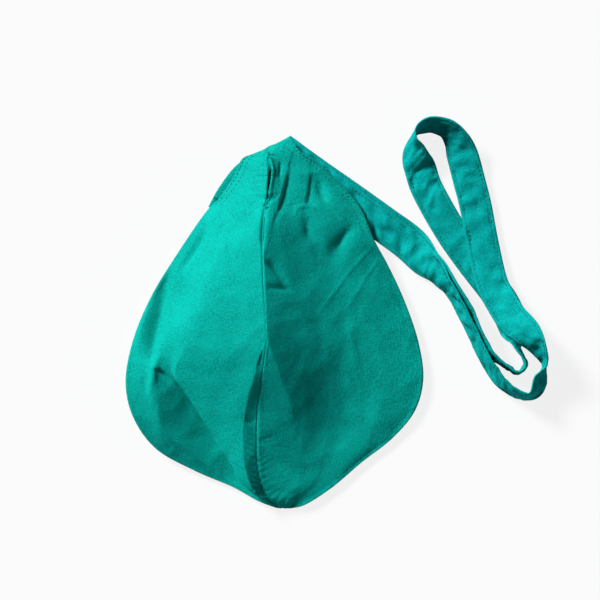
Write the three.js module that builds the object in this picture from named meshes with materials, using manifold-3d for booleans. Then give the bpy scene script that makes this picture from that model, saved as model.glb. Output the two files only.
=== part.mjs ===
// A cloth prayer bead bag lying on its back, with its front seam up and its neck strap laid out beside it.
// Millimetres, +Z up from the surface it lies on, +Y from the bottom tip to the mouth, +X to the strap.
// The origin is on the underside, on the rear seam, where the bag is widest.
import * as THREE from 'three';
import { mergeVertices } from 'three/addons/utils/BufferGeometryUtils.js';
import Module from 'manifold-3d';

// Thicknesses and clearances
const CLOTH = 1.6;
const FACING = 1.2;
const GAP = 0.35;
const ROW_GAP = 0.53;
const FOLD_TUCK = 3;

// Seams
const REAR_SEAM_WIDTH = 12;
const FRONT_SEAM_DEPTH = 8;
const FRONT_SEAM_THICKNESS = 1.8;
const FRONT_SEAM_DROP = 1.2;
const FRONT_SEAM_POINTS = 8;

// Mouth hems and finger slit
const MOUTH_HEM = 9;
const HEM_START = 9;
const SLIT_OPENING = 4.6;
const SLIT_HEM = 6;
const TACK_LENGTH = 5;
const TACK_WIDTH = 2;
const TACK_HEIGHT = 1.2;
const TOP_TACK = { row: 5, share: 0.5 };
const BOTTOM_TACK = { row: 0, share: 0.8 };

// Strap
const STRAP_WIDTH = 25;
const STRAP_THICKNESS = 2;
const STRAP_STEPS = 130;
const ANCHOR_LENGTH = 22;

// Bottom tip: how far its blunt end reaches below the panels, and how far it is set in from the right
const TIP_DROP = 3.2;
const TIP_INSET = 4;

// Feature lines of the panels, from the mouth's fold line down to the bottom tip, ten points each.
// The seam is a ridge in its upper half and lies in a valley between two crests in its lower half.
// Below the middle the left fold stands over its foot, and the cloth from there to the side lies low.
const SEAM = [[-8.6, 98.7, 42], [-9.4, 71, 49], [-7.8, 35, 53.5], [-6.2, 4, 54], [-8.6, -16, 47],
  [-12.5, -43, 35], [-14, -69, 26.5], [-13.3, -94, 18], [-10, -111, 11], [-3, -121, 6]];
const LEFT_CREST = [[-9.6, 98.9, 42.2], [-10.4, 71.2, 49.3], [-8.8, 35, 53.9], [-7.4, 4, 54.5],
  [-15, -20, 49], [-22, -48, 38.5], [-24.5, -75, 26.5], [-22.5, -97, 18.5], [-16, -113, 11.5],
  [-6, -121, 6.4]];
const LEFT_FOLD = [[-29, 102.7, 25], [-41, 72, 37], [-55, 35, 42], [-67, 2, 42], [-77, -22, 37],
  [-64, -45, 32], [-51, -66, 25], [-38, -87, 18], [-24, -108, 11], [-9, -121, 6]];
const LEFT_FOOT = [[-34, 103.7, 20.9], [-48, 72.5, 31], [-66, 36, 33], [-80, 2.5, 29], [-86, -20, 27],
  [-69, -51, 11], [-56, -72, 6.5], [-43, -92.5, 5], [-27, -109.5, 4.7], [-9.7, -121, 5.2]];
const LEFT_FLANK = [[-42, 105.2, 14.3], [-61, 73, 18.5], [-81, 36.5, 17], [-90, 3, 16], [-95, -18, 22.5],
  [-97, -38, 21], [-95, -63, 16], [-72, -87, 9], [-36, -106.5, 5.4], [-11, -121.5, 4.6]];
const LEFT_SIDE = [[-51, 107, 6.8], [-74, 74, 10], [-97, 36, 11], [-111, 0, 12], [-115.4, -30, 16],
  [-110, -55, 14], [-93, -80, 8], [-62, -98, 4.8], [-32, -111, 4], [-12, -122, 3.8]];
const RIGHT_CREST = [[-7.6, 98.5, 42.2], [-8.4, 70.8, 49.3], [-6.8, 35, 53.9], [-5, 4, 54.4],
  [4, -21, 45.5], [13, -48, 33], [16, -72, 24], [18, -94, 16.5], [19, -110, 10.5], [10, -122, 6]];
const RIGHT_FOLD = [[17, 93.7, 33.3], [32, 65, 27.5], [46, 34, 24.5], [52, 2.5, 23], [53, -25, 19],
  [52, -50, 14.5], [48, -72.5, 11.5], [40, -93, 9.5], [32, -109, 7.5], [13, -121.5, 5.6]];
const RIGHT_FLANK = [[50, 87.3, 22.1], [63, 62, 18.5], [76, 33.5, 16], [84, 1.2, 15], [87, -26.5, 13],
  [84, -51, 11], [74, -73, 9], [59, -91.5, 7.5], [41, -109.5, 6], [17.5, -122.5, 5]];
const RIGHT_SIDE = [[77, 82, 13], [88, 62, 9], [101, 34, 7.5], [112, 1, 7], [115.4, -27, 7],
  [109, -51, 6], [92, -72, 5], [68, -91, 4.5], [43, -112, 4.2], [22, -125, 4]];

// Front lip of the mouth: the ridge line and the two rims, from the fold line to the top.
// The slit runs along the ridge line from its third point to its fifth.
const LIP_RIDGE = [SEAM[0], [-8, 110.4, 37.9], [-6.5, 111, 37.5], [-6.5, 128.7, 30.5], [-6.5, 146, 23],
  [-5.4, 146.8, 22.7], [-3.9, 152.5, 19.5]];
const LEFT_RIM = [LEFT_SIDE[0], [-45, 112.3, 7.2], [-44.5, 113, 7.3], [-32.5, 130.5, 8.5], [-25.3, 145, 11],
  [-23.8, 146.3, 11.5], [-7, 151.7, 19]];
const RIGHT_RIM = [RIGHT_SIDE[0], [68, 104, 12], [67.4, 105, 12], [54, 122.5, 12], [34, 141, 12.5],
  [31, 143.5, 12.5], [12, 161, 14]];
const SLIT_ROWS = [2, 4];

// Rear lip of the mouth, flat on the surface: its rims from the corners up to the middle of the rear seam.
const LEFT_REAR_RIM = [[-53, 106], [-43, 124], [-28, 142], [-12, 152.5], [0, 160.4]];
const RIGHT_REAR_RIM = [[79, 85], [71, 108], [43, 135], [12, 160], [0, 160.4]];
const RIGHT_HEM_POINTS = 3;
const REAR_LIP_ROOT = { left: [-47, 100], right: [72, 76], seam: 90 };

// Strap centreline from the lower sewn end, round the loop and back to the upper end.
// Each point is x, y, z and the roll in degrees.
const STRAP_ROUTE = [
  [4.7, 152.9, 4.6, 0], [13.3, 146.6, 4.6, 0], [35.1, 131, 4.6, 0], [58.5, 114.7, 4.6, 0],
  [85.8, 95.2, 4.4, 0], [106.9, 79.6, 2.6, 6], [117.8, 65.5, 7.6, 30], [126.4, 58.5, 10.8, 50],
  [133.4, 51.5, 12.4, 66], [140, 43.7, 13, 76], [146.6, 34.3, 13.1, 78], [151.3, 25.7, 13.1, 78],
  [158.3, 8.6, 13.1, 78], [163.4, 0, 13.1, 79], [168, -7.6, 13.2, 81], [175.5, -13.7, 13.2, 84],
  [182.9, -18.7, 13.3, 87], [189.5, -20.7, 13.3, 88], [194.4, -15.6, 13.3, 87], [193, -9.2, 13.2, 85],
  [188.8, -3, 13.1, 80], [188.6, 4.4, 10.2, 46], [187, 12, 4.4, 13], [183.6, 21.1, 2.6, 4],
  [177.8, 32.8, 2, 0], [170, 44.1, 1.9, 0], [154, 64.7, 1.9, 0], [139.2, 85.4, 1.9, 0],
  [124, 111.1, 1.9, 0], [116.7, 125.9, 2.2, 0], [113.2, 137, 3.9, -8], [110, 144.3, 7.3, -28],
  [108, 152.5, 11, -50], [107.8, 160.5, 13, -80], [112, 167.6, 12.9, -106], [121, 171, 12.4, -116],
  [133, 168.4, 11.9, -124], [141, 159.5, 10, -140], [146, 147, 7, -166], [151, 128.7, 5, -178],
  [156, 109.2, 4.8, -180], [161.9, 78, 5.4, -180], [169.3, 46.8, 8.4, -180], [176.3, 32.8, 13.4, -178],
  [183.4, 21.1, 19.4, -172], [194.6, 9.9, 26.4, -150], [203.5, -2, 24, -118], [209.3, -15.5, 14.6, -92],
  [206.2, -27, 12.4, -62], [202.5, -36.5, 12.6, -66], [195.8, -39.8, 13.3, -78], [183.3, -35.1, 13.3, -74],
  [174.3, -27.3, 13.1, -72], [163.8, -11.7, 13, -73], [152.5, 11.7, 13, -74], [144.7, 27.3, 13, -74],
  [136.3, 42.4, 13.1, -72], [130.6, 49.2, 13.6, -65], [124.6, 57, 12.8, -48], [116.5, 64.4, 10.2, -28],
  [106, 79, 5.9, -6], [81.9, 97.5, 7, 0], [58.5, 114.7, 7, 0], [35.1, 131, 7, 0],
  [13.3, 146.6, 7, 0], [4.7, 152.9, 7, 0]
];
const STRAP_PIVOT = STRAP_ROUTE[1];

// Sampling of the cloth surfaces
const ROWS_PER_SPAN = 2;
const COLUMNS_PER_SPAN = 2;
const LIP_COLUMNS = 4;

const wasm = await Module();
wasm.setup();

const cotton = new THREE.MeshStandardMaterial({ color: 0x059a8c, roughness: 0.95, metalness: 0 });
const webbing = new THREE.MeshStandardMaterial({ color: 0x06918c, roughness: 0.92, metalness: 0 });
const thread = new THREE.MeshStandardMaterial({ color: 0x046e66, roughness: 0.85, metalness: 0 });

const vector = (point) => new THREE.Vector3(...point);
const plan = (point) => new THREE.Vector2(point[0], point[1]);
const lerp = (a, b, share) => a.map((value, i) => value + (b[i] - value) * share);
const raise = (point, height) => [point[0], point[1], point[2] + height];
const planDistance = (a, b) => plan(a).distanceTo(plan(b));

function curveSamples(points, perSpan) {
  const curve = new THREE.CatmullRomCurve3(points.map(vector), false, 'centripetal');
  const count = (points.length - 1) * perSpan;
  return Array.from({ length: count + 1 }, (_, i) => curve.getPoint(i / count).toArray());
}

function closedGeometry(positions, indices) {
  const geometry = new THREE.BufferGeometry();
  geometry.setAttribute('position', new THREE.Float32BufferAttribute(positions.flat(), 3));
  geometry.setIndex(indices);
  if (signedVolume(positions, indices) < 0) {
    const flipped = indices.slice();
    for (let i = 0; i < flipped.length; i += 3) {
      [flipped[i], flipped[i + 1]] = [flipped[i + 1], flipped[i]];
    }
    geometry.setIndex(flipped);
  }
  geometry.computeVertexNormals();
  return geometry;
}

function signedVolume(positions, indices) {
  let volume = 0;
  for (let i = 0; i < indices.length; i += 3) {
    const [a, b, c] = [0, 1, 2].map((k) => vector(positions[indices[i + k]]));
    volume += a.dot(b.cross(c)) / 6;
  }
  return volume;
}

// Closed shell between an outer and an inner grid of points, row by row.
function shell(outer, inner) {
  const columns = outer[0].length;
  const ring = 2 * columns;
  const positions = outer.flatMap((row, r) => [...row, ...inner[r].slice().reverse()]);
  const indices = [];
  const quad = (a, b, c, d) => indices.push(a, b, c, a, c, d);
  for (let r = 0; r + 1 < outer.length; r += 1) {
    for (let k = 0; k < ring; k += 1) {
      const next = (k + 1) % ring;
      quad(r * ring + k, r * ring + next, (r + 1) * ring + next, (r + 1) * ring + k);
    }
  }
  const last = (outer.length - 1) * ring;
  for (let k = 0; k + 1 < columns; k += 1) {
    quad(ring - 1 - k, ring - 2 - k, k + 1, k);
    quad(last + k, last + k + 1, last + ring - 2 - k, last + ring - 1 - k);
  }
  return closedGeometry(positions, indices);
}

// A flat ribbon along points of x, y, z and roll: its left edge lifts as the roll grows.
function ribbon(route, width, thickness, steps) {
  const places = route.map(([x, y, z]) => new THREE.Vector3(x, y, z));
  const path = new THREE.CatmullRomCurve3(places, false, 'centripetal');
  const rolls = new THREE.SplineCurve(route.map(([, , , roll], i) => new THREE.Vector2(i, roll)));
  const outer = [];
  const inner = [];
  for (let i = 0; i <= steps; i += 1) {
    const t = i / steps;
    const centre = path.getPoint(t);
    const tangent = path.getTangent(t);
    const left = new THREE.Vector3(-tangent.y, tangent.x, 0).normalize();
    const roll = THREE.MathUtils.degToRad(rolls.getPoint(t).y);
    const across = left.multiplyScalar(Math.cos(roll)).setZ(Math.sin(roll));
    const face = new THREE.Vector3().crossVectors(tangent, across).normalize();
    const corner = (w, h) => centre.clone().addScaledVector(across, w).addScaledVector(face, h).toArray();
    outer.push([corner(-width / 2, thickness / 2), corner(width / 2, thickness / 2)]);
    inner.push([corner(-width / 2, -thickness / 2), corner(width / 2, -thickness / 2)]);
  }
  return shell(outer, inner);
}

function plate(outline, bottom, height) {
  const shape = new THREE.Shape(outline.map(plan));
  return new THREE.ExtrudeGeometry(shape, { depth: height, bevelEnabled: false }).translate(0, 0, bottom);
}

function toManifold(geometry) {
  const bare = geometry.clone();
  bare.deleteAttribute('normal');
  bare.deleteAttribute('uv');
  const merged = mergeVertices(bare);
  return new wasm.Manifold(new wasm.Mesh({
    numProp: 3,
    vertProperties: new Float32Array(merged.attributes.position.array),
    triVerts: new Uint32Array(merged.index.array),
  }));
}

function fromManifold(solid) {
  const mesh = solid.getMesh();
  const geometry = new THREE.BufferGeometry();
  geometry.setAttribute('position', new THREE.Float32BufferAttribute(mesh.vertProperties, 3));
  geometry.setIndex(Array.from(mesh.triVerts));
  geometry.computeVertexNormals();
  return geometry;
}

// One panel: the front from seam to side, turned under at the side and flat below as far as the rear seam.
function panelGeometry(lines, sign, rearLip) {
  const rows = lines.map((line) => curveSamples(line, ROWS_PER_SPAN));
  const seamEdge = sign * (REAR_SEAM_WIDTH / 2 + GAP);
  const outer = [];
  const inner = [];
  rows[0].forEach((seamPoint, r) => {
    const feature = rows.map((row) => row[r]);
    feature[0] = [seamPoint[0] + sign * GAP / 2, seamPoint[1], seamPoint[2]];
    const front = curveSamples(feature, COLUMNS_PER_SPAN);
    const side = front[front.length - 1];
    const rearEnd = [seamEdge, seamPoint[1], 0];
    const inward = vector(rearEnd).sub(vector([side[0], side[1], 0])).normalize();
    const tucked = (distance, z) => [side[0] + inward.x * distance, side[1] + inward.y * distance, z];
    outer.push([...front, tucked(FOLD_TUCK, 0), rearEnd]);
    const under = front.slice(0, -1).map((point) => raise(point, -CLOTH));
    const sideInner = tucked(CLOTH, (side[2] + CLOTH) / 2);
    inner.push([...under, sideInner, tucked(FOLD_TUCK + CLOTH, CLOTH), raise(rearEnd, CLOTH)]);
  });
  return fromManifold(toManifold(shell(outer, inner)).add(toManifold(rearLip)));
}

// The point of a rear rim's last stretch at this x.
function rimAt(rim, x) {
  const [from, to] = rim.slice(-2);
  return lerp(from, to, (x - from[0]) / (to[0] - from[0]));
}

function rearLipPlate(rim, sign, root) {
  const seamEdge = sign * (REAR_SEAM_WIDTH / 2 + GAP);
  const outline = [...rim.slice(0, -1), rimAt(rim, seamEdge), [seamEdge, REAR_LIP_ROOT.seam], root];
  return plate(outline, 0, CLOTH);
}

// Points of the front lip between its ridge line (share 0) and one rim (share 1).
function lipPoint(rim, row, share) {
  return lerp(LIP_RIDGE[row], rim[row], share);
}

function shareAt(rim, row, distance) {
  return Math.min(distance / planDistance(LIP_RIDGE[row], rim[row]), 1);
}

const inSlit = (row) => row >= SLIT_ROWS[0] && row <= SLIT_ROWS[1];
const slitEdge = SLIT_OPENING / 2;
const slitHinge = slitEdge + SLIT_HEM;

// A strip of the front lip for each row, from one share to another, moved clear of the fold line at its foot.
function lipStrip(rim, startShare, endShare, drop, thickness) {
  const rows = LIP_RIDGE.map((_, row) => {
    const from = startShare(row);
    return Array.from({ length: LIP_COLUMNS + 1 }, (_, k) => {
      const share = from + (endShare(row) - from) * k / LIP_COLUMNS;
      return raise(lipPoint(rim, row, share), -drop);
    });
  });
  const footRise = ROW_GAP / planDistance(LIP_RIDGE[0], LIP_RIDGE[1]);
  rows[0] = rows[0].map((point, k) => lerp(point, rows[1][k], footRise));
  return shell(rows, rows.map((row) => row.map((point) => raise(point, -thickness))));
}

function lipGeometry(rim) {
  const start = (row) => shareAt(rim, row, inSlit(row) ? slitHinge + GAP : GAP / 2);
  return lipStrip(rim, start, () => 1, 0, CLOTH);
}

function mouthFacing(rim) {
  const start = (row) => {
    const width = planDistance(LIP_RIDGE[row], rim[row]);
    return Math.max(1 - MOUTH_HEM / width, shareAt(rim, row, inSlit(row) ? slitHinge + GAP : GAP));
  };
  return lipStrip(rim, start, () => 1, CLOTH + GAP, FACING);
}

function slitHemGeometry(rim) {
  const [bottom, top] = SLIT_ROWS;
  const rows = [];
  for (let row = bottom; row <= top; row += 1) {
    rows.push([slitEdge, slitHinge].map((distance) => lipPoint(rim, row, shareAt(rim, row, distance))));
  }
  const clear = ROW_GAP / planDistance(LIP_RIDGE[bottom], LIP_RIDGE[bottom + 1]);
  const first = rows[0].map((point, k) => lerp(point, rows[1][k], clear));
  const final = rows[rows.length - 1].map((point, k) => lerp(point, rows[rows.length - 2][k], clear));
  rows[0] = first;
  rows[rows.length - 1] = final;
  return shell(rows, rows.map((row) => row.map((point) => raise(point, -CLOTH))));
}

// Band of doubled cloth inside a rear rim, starting clear of the corner.
function rearHem(rim) {
  const start = lerp(rim[0], rim[1], HEM_START / planDistance(rim[0], rim[1]));
  const spine = [start, ...rim.slice(1)].map(plan);
  const inside = spine.map((point, i) => {
    const before = spine[Math.max(i - 1, 0)];
    const after = spine[Math.min(i + 1, spine.length - 1)];
    const along = after.clone().sub(before).normalize();
    const side = new THREE.Vector2(along.y, -along.x).multiplyScalar(along.x > 0 ? 1 : -1);
    return point.clone().addScaledVector(side, MOUTH_HEM);
  });
  const outline = [...spine, ...inside.reverse()].map((point) => point.toArray());
  return plate(outline, CLOTH + GAP, FACING);
}

function strapAnchor() {
  const [x, y] = STRAP_PIVOT;
  const along = Math.atan2(STRAP_ROUTE[2][1] - y, STRAP_ROUTE[2][0] - x);
  const geometry = new THREE.BoxGeometry(ANCHOR_LENGTH, STRAP_WIDTH, FACING);
  return geometry.rotateZ(along).translate(x, y, CLOTH + GAP + FACING / 2);
}

function frontSeamGeometry() {
  const drop = CLOTH + FRONT_SEAM_DROP + FRONT_SEAM_DEPTH / 2;
  const upright = 90;
  const route = SEAM.slice(0, FRONT_SEAM_POINTS).map(([x, y, z]) => [x, y, z - drop, upright]);
  return ribbon(route, FRONT_SEAM_DEPTH, FRONT_SEAM_THICKNESS, (route.length - 1) * ROWS_PER_SPAN);
}

function rearSeamGeometry() {
  const bottom = SEAM[SEAM.length - 1][1] + 2 * GAP;
  const half = REAR_SEAM_WIDTH / 2;
  const top = LEFT_REAR_RIM[LEFT_REAR_RIM.length - 1];
  const [left, right] = [rimAt(LEFT_REAR_RIM, -half), rimAt(RIGHT_REAR_RIM, half)];
  return plate([[-half, bottom], [half, bottom], right, top, left], 0, CLOTH);
}

// Doubled cloth that closes the bottom tip below the last row of both panels.
function bottomTipGeometry() {
  const [left, right] = [LEFT_SIDE, RIGHT_SIDE].map((line) => line[line.length - 1]);
  const middle = SEAM[SEAM.length - 1];
  const top = [left, middle, right].map((point) => [point[0], point[1] - GAP, 0]);
  const low = right[1] - TIP_DROP;
  const blunt = [[(left[0] + right[0]) / 2, low], [right[0] - TIP_INSET, low]];
  return plate([top[0], ...blunt, top[2], top[1]], 0, middle[2]);
}

// A thread bar across the ridge, between two rows of the front lip, lying along the ridge's fall.
function barTack({ row, share }) {
  const [from, to] = [LIP_RIDGE[row], LIP_RIDGE[row + 1]];
  const [x, y, z] = lerp(from, to, share);
  const fall = Math.atan2(to[2] - from[2], to[1] - from[1]);
  const geometry = new THREE.BoxGeometry(TACK_LENGTH, TACK_WIDTH, TACK_HEIGHT);
  return geometry.translate(0, 0, GAP + TACK_HEIGHT / 2).rotateX(fall).translate(x, y, z);
}

const bag = new THREE.Group();
function place(name, geometry, material) {
  const mesh = new THREE.Mesh(geometry, material);
  mesh.name = name;
  bag.add(mesh);
}

const leftLines = [SEAM, LEFT_CREST, LEFT_FOLD, LEFT_FOOT, LEFT_FLANK, LEFT_SIDE];
const rightLines = [SEAM, RIGHT_CREST, RIGHT_FOLD, RIGHT_FLANK, RIGHT_SIDE];
const leftRearLip = rearLipPlate(LEFT_REAR_RIM, -1, REAR_LIP_ROOT.left);
const rightRearLip = rearLipPlate(RIGHT_REAR_RIM, 1, REAR_LIP_ROOT.right);
place('left_panel', panelGeometry(leftLines, -1, leftRearLip), cotton);
place('right_panel', panelGeometry(rightLines, 1, rightRearLip), cotton);
place('rear_seam', rearSeamGeometry(), cotton);
place('front_seam', frontSeamGeometry(), cotton);
place('bottom_tip', bottomTipGeometry(), cotton);
place('left_rear_hem', rearHem(LEFT_REAR_RIM.slice(0, -1)), cotton);
place('right_rear_hem', rearHem(RIGHT_REAR_RIM.slice(0, RIGHT_HEM_POINTS)), cotton);
place('left_front_lip', lipGeometry(LEFT_RIM), cotton);
place('right_front_lip', lipGeometry(RIGHT_RIM), cotton);
place('left_front_facing', mouthFacing(LEFT_RIM), cotton);
place('right_front_facing', mouthFacing(RIGHT_RIM), cotton);
place('left_slit_hem', slitHemGeometry(LEFT_RIM), cotton);
place('right_slit_hem', slitHemGeometry(RIGHT_RIM), cotton);
place('slit_top_tack', barTack(TOP_TACK), thread);
place('slit_bottom_tack', barTack(BOTTOM_TACK), thread);
place('strap_anchor', strapAnchor(), webbing);
place('strap', ribbon(STRAP_ROUTE, STRAP_WIDTH, STRAP_THICKNESS, STRAP_STEPS), webbing);

export default bag;
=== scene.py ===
"""A cotton prayer bead bag lying on its back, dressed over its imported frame.

Sizes below are in millimetres, as the bag is sewn; a mesh is made in metres.
"""
import math

import bmesh
import bpy
import numpy as np
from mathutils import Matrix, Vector, noise


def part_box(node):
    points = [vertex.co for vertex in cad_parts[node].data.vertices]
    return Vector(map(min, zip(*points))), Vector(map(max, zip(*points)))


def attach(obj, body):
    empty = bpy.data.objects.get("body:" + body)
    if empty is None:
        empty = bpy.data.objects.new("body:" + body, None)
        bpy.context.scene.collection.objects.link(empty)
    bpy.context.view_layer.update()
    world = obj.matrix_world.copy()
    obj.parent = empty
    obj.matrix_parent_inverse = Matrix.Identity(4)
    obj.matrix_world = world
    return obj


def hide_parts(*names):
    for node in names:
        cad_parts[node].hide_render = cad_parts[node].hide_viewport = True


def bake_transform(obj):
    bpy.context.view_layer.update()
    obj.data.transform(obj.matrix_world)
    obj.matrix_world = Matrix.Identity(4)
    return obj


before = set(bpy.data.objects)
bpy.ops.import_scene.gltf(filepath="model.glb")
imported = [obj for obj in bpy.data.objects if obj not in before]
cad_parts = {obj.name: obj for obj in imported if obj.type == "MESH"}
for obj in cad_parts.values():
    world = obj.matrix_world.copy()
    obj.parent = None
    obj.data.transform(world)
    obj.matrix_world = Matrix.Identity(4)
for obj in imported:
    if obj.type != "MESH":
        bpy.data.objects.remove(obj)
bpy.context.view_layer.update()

MM = 0.001

# Cloth and seams
CLOTH = 0.9
HEM_THICKNESS = 2.2
MOUTH_HEM = 9
STITCH_INSET = 1.6
REAR_SEAM_HALF = 6
FRONT_SEAM_DEPTH = 8
SLIT_HEM = 8.3

# Where the pieces are cut from the flat cloth, so that neighbours don't share their threads.
CUT_AT = {"front_left": (0, 0), "front_right": (300, 0), "rear": (600, 0), "facing": (900, 0),
          "rear_hem": (900, 400), "front_seam": (1200, 0), "rear_seam": (1500, 0), "tip": (1800, 0),
          "anchor": (2100, 0)}

# Strap
STRAP_WIDTH = 25
STRAP_THICKNESS = 2
STRAP_STITCH_INSET = 3

# Feature lines of the panels, from the mouth's fold line down to the bottom tip.
SEAM = [[-8.6, 98.7, 42], [-9.4, 71, 48], [-7.8, 35, 53.3], [-6.2, 4, 54], [-8.6, -16, 47],
        [-12.5, -43, 34.5], [-14, -69, 27], [-13.3, -94, 20], [-10, -111, 14.2], [-3, -121, 10]]
LEFT_CREST = [
    [-9.6, 98.9, 42.2], [-10.4, 71.2, 48.3], [-8.6, 35, 53.5], [-7.4, 4, 53.9], [-14.4, -20, 47.1],
    [-22, -48, 36.5], [-24.5, -75, 28.4], [-22.5, -97, 25.2], [-16, -113, 21], [-6, -121, 12.5]]
LEFT_FOLD = [[-29, 102.7, 25], [-41, 72, 35.5], [-55, 35, 40], [-67, 2, 38], [-78, -21.5, 31],
             [-64, -45, 26], [-51, -66, 21.4], [-38, -87, 20], [-24, -108, 20], [-9, -121, 11]]
LEFT_FOOT = [
    [-34, 103.7, 20.9], [-48, 72.5, 29.8], [-66, 36, 31.5], [-80, 2.5, 31], [-79, -22.5, 26.5],
    [-62, -46.5, 15], [-48.5, -67.5, 8.5], [-36, -88.5, 4], [-23, -108.7, 2.6], [-9.3, -121, 4.2]]
LEFT_FLANK = [
    [-42, 105.2, 14.3], [-61, 73, 18.5], [-81, 36.5, 20], [-90, 3, 24.5], [-93, -18, 28],
    [-90, -38, 28], [-88, -63, 22.5], [-64, -84, 13], [-35, -106, 4.4], [-11, -121.5, 4.4]]
LEFT_SIDE = [[-51, 107, 6.8], [-74, 74, 10], [-97, 36, 12.5], [-111, 0, 18.5], [-115.4, -30, 21.5],
             [-110, -55, 18.5], [-93, -80, 10], [-62, -98, 5.5], [-32, -111, 4], [-12, -122, 3.8]]
RIGHT_CREST = [[-7.6, 98.5, 42.2], [-8.4, 70.8, 48.3], [-7, 35, 53.5], [-5, 4, 54.2], [4, -21, 44.5],
               [13, -48, 30], [16, -72, 20], [18, -94, 13.5], [19, -110, 11], [10, -122, 9]]
RIGHT_FOLD = [[17, 93.7, 33.3], [32, 65, 27.5], [46, 34, 24.5], [52, 2.5, 23], [53, -25, 19],
              [52, -50, 14], [48, -72.5, 11], [40, -93, 9.5], [32, -109, 8], [13, -121.5, 7.6]]
RIGHT_FLANK = [[50, 87.3, 22.1], [63, 62, 18.5], [76, 33.5, 16], [84, 1.2, 15], [87, -26.5, 13],
               [84, -51, 11], [74, -73, 9], [59, -91.5, 7.5], [41, -109.5, 6.4], [17.5, -122.5, 6.2]]
RIGHT_SIDE = [[77, 82, 13], [88, 62, 9], [101, 34, 7.5], [112, 1, 7], [115.4, -27, 7],
              [109, -51, 6], [92, -72, 5], [68, -91, 4.8], [43, -112, 5.2], [22, -125, 5]]

# Where the panels close round the bottom tip, from the seam to the side.
LEFT_TIP = [[4, -127.4, 2.4], [1, -127, 2]]
RIGHT_TIP = [[4, -127.4, 2.4], [12, -127.4, 2]]

# Front lip of the mouth above the fold line: the ridge with its slit, and the two rims.
LIP_RIDGE = [[-6.5, 111, 37.5], [-6.5, 128.7, 30.5], [-6.5, 146, 23], [-5.6, 150, 19.5], [-3, 155.5, 14]]
LEFT_RIM = [[-44.5, 113, 7.3], [-32.5, 130.5, 8.5], [-25.3, 145, 11], [-18, 148.2, 13], [-9, 151.8, 13.5]]
RIGHT_RIM = [[67.4, 105, 12], [54, 122.5, 12.5], [34, 141, 16.5], [19, 151, 18], [11.2, 162, 15.5]]
LEFT_REAR_RIM = [[-53, 106], [-43, 124], [-28, 142], [-12, 148.5], [-6, 151.5]]
RIGHT_REAR_RIM = [[79, 85], [71, 108], [43, 135], [12, 159.5], [6, 157.5]]

# Strap centreline from the lower sewn end round the loop and back: x, y, z, roll in degrees.
STRAP_ROUTE = [
    [4.7, 152.9, 4.6, 0], [13.3, 146.6, 4.6, 0], [35.1, 131, 4.6, 0], [58.5, 114.7, 4.6, 0],
    [85.8, 95.2, 4.4, 0], [106.9, 79.6, 2.6, 6], [117.8, 65.5, 7.6, 30], [126.4, 58.5, 10.8, 50],
    [133.4, 51.5, 12.4, 66], [140, 43.7, 13, 76], [146.6, 34.3, 13.1, 78], [151.3, 25.7, 13.1, 78],
    [158.3, 8.6, 13.1, 78], [163.4, 0, 13.1, 79], [168, -7.6, 13.2, 81], [175.5, -13.7, 13.2, 84],
    [182.9, -18.7, 13.3, 87], [189.5, -20.7, 13.3, 88], [194.4, -15.6, 13.3, 87], [193, -9.2, 13.2, 85],
    [188.8, -3, 13.1, 80], [188.6, 4.4, 10.2, 46], [187, 12, 4.4, 13], [183.6, 21.1, 2.6, 4],
    [177.8, 32.8, 2, 0], [170, 44.1, 1.9, 0], [154, 64.7, 1.9, 0], [139.2, 85.4, 1.9, 0],
    [124, 111.1, 1.9, 0], [116.7, 125.9, 2.2, 0], [113.2, 137, 3.9, -8], [110, 144.3, 7.3, -28],
    [108, 152.5, 11, -50], [107.8, 160.5, 13, -80], [112, 167.6, 12.9, -106], [121, 171, 12.4, -116],
    [133, 168.4, 11.9, -124], [141, 159.5, 10, -140], [146, 147, 7, -166], [151, 128.7, 5, -178],
    [156, 109.2, 4.8, -180], [161.9, 78, 5.4, -180], [169.3, 46.8, 8.4, -180], [176.3, 32.8, 13.4, -178],
    [183.4, 21.1, 19.4, -172], [194.6, 9.9, 26.4, -150], [203.5, -2, 24, -118], [209.3, -15.5, 14.6, -92],
    [206.2, -27, 12.4, -62], [202.5, -36.5, 12.6, -66], [195.8, -39.8, 13.3, -78], [183.3, -35.1, 13.3, -74],
    [174.3, -27.3, 13.1, -72], [163.8, -11.7, 13, -73], [152.5, 11.7, 13, -74], [144.7, 27.3, 13, -74],
    [136.3, 42.4, 13.1, -72], [130.6, 49.2, 13.6, -65], [124.6, 57, 12.8, -48], [116.5, 64.4, 10.2, -28],
    [104.6, 77, 5.9, -6], [80.2, 95.1, 7, 0], [56.8, 112.3, 7, 0], [34, 129.6, 7, 0],
    [13.3, 146.6, 7, 0], [4.7, 152.9, 7, 0]
]

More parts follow.
